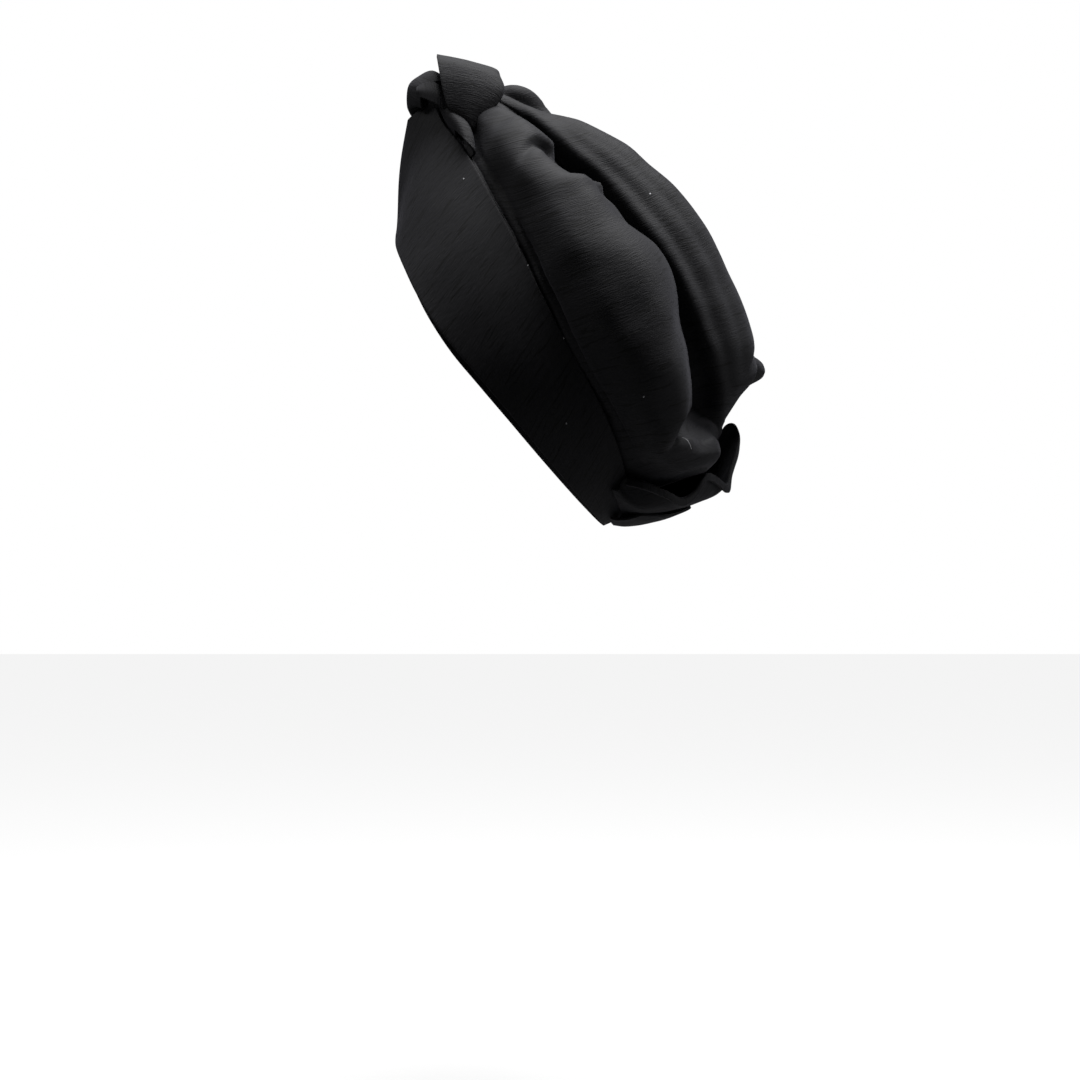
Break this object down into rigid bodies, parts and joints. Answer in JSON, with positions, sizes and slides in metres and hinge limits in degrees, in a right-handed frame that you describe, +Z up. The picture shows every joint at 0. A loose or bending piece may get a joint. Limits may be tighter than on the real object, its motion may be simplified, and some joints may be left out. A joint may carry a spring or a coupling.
{
  "type": "turban headwrap",
  "caption": "Pre-tied black turban headwrap: wide brow band, full padded rolls running back over the crown, a strapped knot at the front and an upturned cuff at the nape, open below.",
  "frame": {"origin": "centre of the head opening, at the middle of the band's lower edge", "axes": "+Z up as worn, -Y towards the brow, +X towards the wearer's left; the crown rises from the opening along (0, 0.815, 0.579)"},
  "size_m": [0.1991, 0.2062, 0.2645],
  "materials": {
    "brow_band": "slubbed dupion silk, soft sheen",
    "crown": "slubbed dupion silk, soft sheen",
    "knot_strap": "slubbed dupion silk, soft sheen",
    "knot_tongue": "slubbed dupion silk, soft sheen",
    "knot_fold_left": "slubbed dupion silk, soft sheen",
    "knot_fold_right": "slubbed dupion silk, soft sheen",
    "tuck_left": "slubbed dupion silk, soft sheen",
    "tuck_right": "slubbed dupion silk, soft sheen",
    "nape_cuff": "slubbed dupion silk, soft sheen",
    "nape_roll": "slubbed dupion silk, soft sheen"
  },
  "bodies": {
    "root": {"brow_band": "brow_band", "crown": "crown", "knot_strap": "knot_strap", "knot_tongue": "knot_tongue", "knot_fold_left": "knot_fold_left", "knot_fold_right": "knot_fold_right", "tuck_left": "tuck_left", "tuck_right": "tuck_right", "nape_cuff": "nape_cuff", "nape_roll": "nape_roll"}
  },
  "joints": []
}
